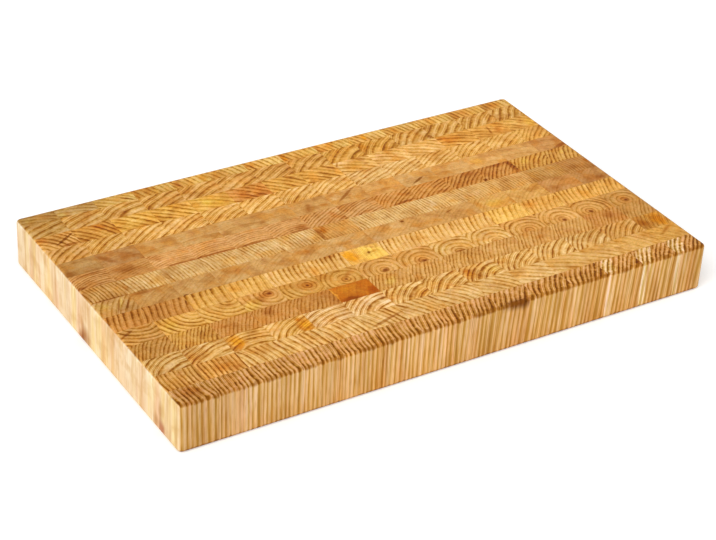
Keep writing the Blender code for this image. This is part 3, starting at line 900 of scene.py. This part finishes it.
def ring_pattern(g, place, seed):
    """The growth rings through the wood: how late in its year each spot grew, and what goes with it."""
    _, y, z = g.parts(place)
    stick_seed = g.parts(seed)[2]
    centre = g.held("pith", "Vector") + g.held("lean", "Vector") * ((THICKNESS - z) / THICKNESS)
    spot = place * RING_STRETCH + seed
    moved = place
    for scale, reach in STRAYS:
        moved = moved + (g.noise(spot, scale, 1.0, "Color") - (0.5, 0.5, 0.5)) * reach
    from_pith = (moved - centre) * (1.0, 1.0, 0.0)
    radius = g.length(from_pith)

    pitch = g.held("pitch")
    along_radius = {"W": radius * WOBBLE_SCALE + stick_seed, "Scale": 1.0, "Detail": 1.0}
    wobble = g.node("TexNoise", "Fac", along_radius, noise_dimensions="1D") - 0.5
    narrowing, reach, _ = g.parts(g.held("narrowing", "Vector"))
    beyond = g.math("MINIMUM", radius - g.held("centre_radius"), reach)
    year = (radius + wobble * (pitch * WOBBLE) + beyond * beyond * (narrowing * 0.5)) / pitch

    whole_year = g.math("FLOOR", year) + stick_seed
    luck = g.outputs("TexWhiteNoise", {"W": whole_year}, noise_dimensions="1D")
    strength = g.held("contrast") * g.spread(Wire(g, luck["Value"]), *YEAR_STRENGTH)
    for scale, least, most in PATCHES:
        strength = strength * g.spread(g.noise(spot, scale, 1.0), least, most)
    youth = g.smooth(radius, 0.0, g.held("young_wood"))
    fade_from, fade, _ = g.parts(g.held("fade", "Vector"))
    late = g.ramp(g.math("FRACT", year), RING_PROFILE) ** g.held("late_wood")
    late = late * (strength * g.spread(youth, YOUNG_STRENGTH, 1.0))
    late = g.math("MULTIPLY", late, (y - fade_from) * fade + 1.0, clamp=True)

    line = g.math("PINGPONG", year * FINE_LINES, 0.5) * 2.0
    patchy = g.smooth(g.noise(spot, 60.0), 0.36, 0.64)
    thin = line ** 2.0 * (patchy * g.held("fine")) * (1.0 - late)
    rays = g.noise(g.math("NORMALIZE", from_pith) * g.held("ray_scale"), 1.0, 1.0)
    luck = Wire(g, luck["Color"])
    return {"late": late, "thin": thin, "luck": luck, "radius": radius, "rays": rays, "youth": youth}


def mark_share(g, place, roughen, left_end, mark):
    """How far one of the block's marks covers a spot. It shows either on the left end or everywhere else."""
    offset = place - g.held(f"{mark}_at", "Vector")
    inputs = {"Vector": offset, "Angle": g.held(f"{mark}_turn") * -1.0}
    turned = g.node("VectorRotate", "Vector", inputs, rotation_type="Z_AXIS")
    reach = g.length(turned / g.held(f"{mark}_size", "Vector")) + roughen
    inside = 1.0 - g.smooth(reach, g.held(f"{mark}_core"), 1.15)
    elsewhere = g.math("ABSOLUTE", left_end - g.held(f"{mark}_on_end"))
    return inside * g.held(f"{mark}_tint", "Alpha") * (1.0 - elsewhere)


def with_marks(g, place, along_grain, left_end, colour):
    """A colour with the block's marks laid over it."""
    coarse = g.noise(along_grain, 130.0, 1.0) - 0.5
    fine = g.noise(along_grain, 420.0) - 0.5
    roughen = coarse * 0.9 + fine * 0.7
    for number in range(1, MARKS_PER_BLOCK + 1):
        mark = f"mark_{number}"
        share = mark_share(g, place, roughen, left_end, mark)
        colour = g.tint(share, colour, g.held(f"{mark}_tint", "Color"))
    return colour


def joint_share(g, place):
    """1 on a glue line, falling to 0 a third of a millimetre away."""
    from_low = place - g.held("joint_low", "Vector")
    from_high = g.held("joint_high", "Vector") - place
    x, y, _ = g.parts(g.math("MINIMUM", from_low, from_high))
    return 1.0 - g.smooth(g.math("MINIMUM", x, y), *JOINT_LINE)


def wood_colour(g, along_grain, rings, pores, upright):
    """The wood's own colour: rings, rays, pores and soft clouds. Upright faces are long grain, and paler."""
    luck_dark, luck_warm, _ = g.parts(rings["luck"])
    sap_start, sap_soft, _ = g.parts(g.held("sap", "Vector"))
    early = g.held("early", "Color")
    for share, tint in (
        (luck_dark * 0.5, DARK_YEAR),
        (luck_warm * 0.35, WARM_YEAR),
        (1.0 - rings["youth"], YOUNG_WOOD),
        (g.smooth(rings["radius"] - sap_start, 0.0, sap_soft), SAPWOOD),
        (upright, LONG_GRAIN),
    ):
        early = g.tint(share, early, tint)
    late = rings["late"] * g.spread(upright, 1.0, LONG_GRAIN_LATE)
    late = late + rings["thin"] * g.spread(upright, 1.0, LONG_GRAIN_THIN)
    colour = early * g.held("late_share", "Color") ** late

    colour = g.clouded(g.held("clouds"), colour, along_grain, WIDE_CLOUDS)
    colour = g.clouded(0.7, colour, along_grain, SMALL_CLOUDS)
    colour = colour * g.spread(g.noise(along_grain, 700.0), 0.72, 1.30)
    colour = g.tint(g.smooth(pores, 0.50, 0.75), colour, PORE)
    return g.tint(g.smooth(rings["rays"], 0.55, 0.80) * 0.5, colour, RAY)


def left_end_colour(g, place, colour, rings):
    """The pale long grain of the left end, with soft upright streaks and smears."""
    wood = g.clouded(1.0, LEFT_END_WOOD, place * LEFT_END_STRETCH, LEFT_END_STREAKS)
    wood = g.clouded(1.0, wood, place * LEFT_END_STRETCH, LEFT_END_THIN_STREAKS)
    wood = g.clouded(1.0, wood, place, LEFT_END_SMEARS)
    wood = g.tint(rings["late"] * 0.30, wood, LEFT_END_RING)
    return g.mix(0.10, wood, colour)


def oiled_and_shaded_edge(g, place, along_grain):
    """A ragged band where the top and the underside turn into the front, the back and the right end, and not
    at the lit left end: end grain darkened by oil, and painted shade.
    """
    x, y, z = g.parts(place)
    low, high = (Vector(corner) for corner in CAD_BOX)
    from_side = g.math("MINIMUM", high.x - x, high.y - g.math("ABSOLUTE", y))
    from_flat = g.math("MINIMUM", high.z - z, z - low.z)
    ragged = (g.noise(along_grain, 320.0) - 0.5) * EDGE_RAGGED
    return g.math("SUBTRACT", 1.0, g.smooth(from_side + from_flat + ragged, *EDGE_BAND), clamp=True)


def larch_material():
    """Oiled larch with its rings, rays, pores and marks: end grain at the top, long grain at the sides."""
    g = Graph(bpy.data.materials.new("oiled_larch"))
    place = g.node("TexCoord", "Object", {})
    normal = g.node("NewGeometry", "Normal", {})
    normal_x, _, normal_z = g.parts(g.math("ABSOLUTE", normal))
    seed = g.held("seed", "Vector")
    in_left_end = g.held("left_end")
    rings = ring_pattern(g, place, seed)
    along_grain = place * GRAIN_STRETCH + seed
    pores = g.noise(along_grain, 1900.0, 1.0)

    upright = 1.0 - g.smooth(normal_z, 0.05, 0.70)
    colour = wood_colour(g, along_grain, rings, pores, upright)
    # Painted shade: the upright sides made darker and warmer towards the bottom, next to the floor
    depth = 1.0 - g.parts(place)[2] / THICKNESS
    low_side_shade = g.smooth(depth + (g.noise(place, 60.0) - 0.5), 0.3, 1.1)
    colour = g.tint(low_side_shade * upright, colour, LOW_SIDE_PAINTED_SHADE)
    left_end = g.smooth(normal_x, 0.55, 0.90) * in_left_end
    colour = g.mix(left_end, colour, left_end_colour(g, place, colour, rings))
    colour = with_marks(g, place, along_grain, left_end, colour)

    # Dark band along the arrises: partly oil soaked into the end grain, partly painted shade; left off the
    # left end, where the key light falls
    edge = oiled_and_shaded_edge(g, place, along_grain) * g.spread(rings["late"], 0.74, 1.0) * (1.0 - left_end)
    colour = g.mix(edge, colour, OILED_AND_SHADED_EDGE_WOOD)
    # Painted highlight: the arris along the left end made paler, where the key light falls on it
    painted_arris_highlight = g.smooth(normal_x, 0.2, 0.5) * in_left_end * g.smooth(normal_z, 0.15, 0.5)
    colour = g.tint(painted_arris_highlight, colour, LEFT_ARRIS_PAINTED_HIGHLIGHT)
    joint = joint_share(g, place)
    g.feed(g.shader.inputs["Base Color"], g.tint(joint * 0.16, colour, GLUE_LINE))

    uneven = (g.noise(along_grain, 70.0) - 0.5) * 0.16
    roughness = g.spread(rings["late"], 0.52, 0.42) + uneven + pores * 0.06
    g.feed(g.shader.inputs["Roughness"], roughness)
    g.bump(rings["late"] * 0.55 + pores * 0.45 - joint, 0.5, 0.06 * MM)
    g.shader.inputs["Metallic"].default_value = 0.0
    g.shader.inputs["IOR"].default_value = 1.45
    g.shader.inputs["Specular IOR Level"].default_value = 0.06
    return g.owner


def glued_side_material():
    """The planed sides between the blocks, under a film of glue. They are hidden while the board is whole."""
    g = Graph(bpy.data.materials.new("glued_side"))
    place = g.node("TexCoord", "Object", {})
    fibres = g.noise(place * GRAIN_STRETCH, 900.0)
    film = g.noise(place, 60.0, 3.0)
    colour = g.mix(g.smooth(fibres, 0.35, 0.65), (0.62, 0.38, 0.17, 1), (0.74, 0.50, 0.26, 1))
    g.feed(g.shader.inputs["Base Color"], g.tint(g.smooth(film, 0.45, 0.60), colour, GLUE_FILM))
    g.feed(g.shader.inputs["Roughness"], g.spread(film, 0.65, 0.35))
    g.bump(fibres, 0.4, 0.05 * MM)
    return g.owner


def build_board():
    """All the pieces of the board: the end strips block by block, and every other strip as one piece."""
    materials = [larch_material(), glued_side_material()]
    plain = rounded_slab()
    grooved = plain.copy()
    groove(grooved)
    for column in range(1, STRIPS + 1):
        if 1 < column < STRIPS:
            make_piece(f"strip_{column:02d}", column, (0, STICKS_ACROSS), grooved, materials)
            continue
        side = "left" if column == 1 else "right"
        for stick in range(1, STICKS_ACROSS + 1):
            node = f"{side}_end_block_{stick:02d}"
            make_piece(node, column, (stick - 1, stick), plain, materials)
    plain.free()
    grooved.free()


def floor_material():
    """A pale, even floor. Where it is seen, it is lifted to white, and keeps the board's soft shadow."""
    g = Graph(bpy.data.materials.new("studio_floor"))
    g.shader.inputs["Base Color"].default_value = FLOOR_COLOUR
    g.shader.inputs["Roughness"].default_value = 0.9
    g.shader.inputs["Specular IOR Level"].default_value = 0.0
    g.shader.inputs["Emission Color"].default_value = (1, 1, 1, 1)
    g.feed(g.shader.inputs["Emission Strength"], g.seen() * FLOOR_LIFT)
    return g.owner


def build_floor():
    """The studio floor that the board lies on, a hair lower, so that no two faces share one plane."""
    builder = bmesh.new()
    bmesh.ops.create_grid(builder, x_segments=1, y_segments=1, size=FLOOR_HALF)
    floor = mesh_object("studio_floor", builder, [floor_material()])
    floor.location.z = CAD_BOX[0][2] - FLOOR_DROP


def build_light():
    """Soft studio light: a broad key from the left, a weak fill from the front, and a pale surround."""
    for name, direction, strength, size, colour in SUNS:
        lamp = bpy.data.lights.new(name, "SUN")
        lamp.energy = strength
        lamp.angle = math.radians(size)
        lamp.color = colour
        sun = new_object(name, lamp)
        sun.rotation_mode = "QUATERNION"
        sun.rotation_quaternion = Vector(direction).to_track_quat("Z", "Y")

    world = bpy.data.worlds.new("studio")
    bpy.context.scene.world = world
    g = Graph(world, "Background")
    g.shader.inputs["Color"].default_value = (1, 1, 1, 1)
    g.feed(g.shader.inputs["Strength"], g.spread(g.seen(), WORLD_LEVEL, 1.0))


def build_camera():
    """The camera at the photograph's angle."""
    data = bpy.data.cameras.new("camera")
    data.lens = CAMERA_LENS
    data.sensor_width = CAMERA_SENSOR
    data.sensor_fit = "HORIZONTAL"
    data.clip_end = 100.0
    camera = new_object("camera", data)
    camera.location = CAMERA_PLACE
    camera.rotation_mode = "QUATERNION"
    aim = (CAMERA_AIM - CAMERA_PLACE).to_track_quat("-Z", "Y")
    camera.rotation_quaternion = aim @ Quaternion((0, 0, 1), CAMERA_ROLL)
    bpy.context.scene.camera = camera


build_camera()
build_board()
build_floor()
build_light()
bpy.context.scene.view_settings.view_transform = "Standard"
